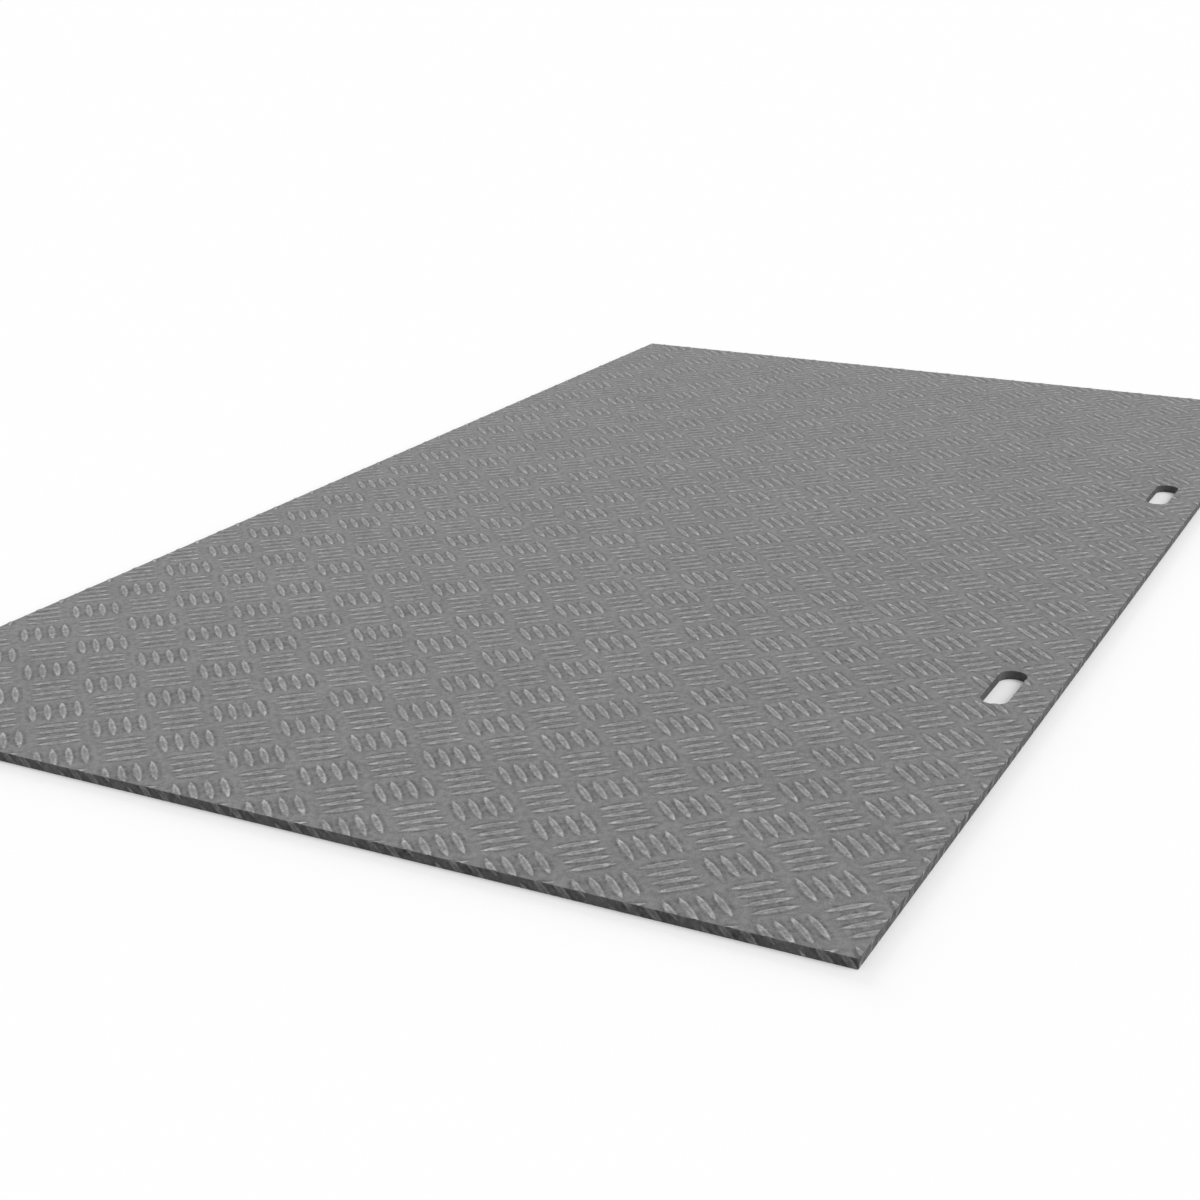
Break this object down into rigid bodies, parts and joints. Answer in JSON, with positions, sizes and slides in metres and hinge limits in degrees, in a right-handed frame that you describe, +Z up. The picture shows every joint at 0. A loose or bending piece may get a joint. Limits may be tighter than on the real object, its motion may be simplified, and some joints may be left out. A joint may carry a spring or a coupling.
{
  "type": "ground protection mat",
  "caption": "Flat grey plastic ground protection mat with a chequer tread on its deck and hand slots along one long edge.",
  "frame": {"origin": "centre of the underside, on the level floor that the mat lies on", "axes": "+X along the length, +Y across the width away from the edge with the hand slots, +Z up through the thickness"},
  "size_m": [2, 1.15, 0.01],
  "materials": {
    "grey_polyethylene": "satin, pressed"
  },
  "bodies": {
    "root": {"ground_mat": "grey_polyethylene"}
  },
  "joints": []
}
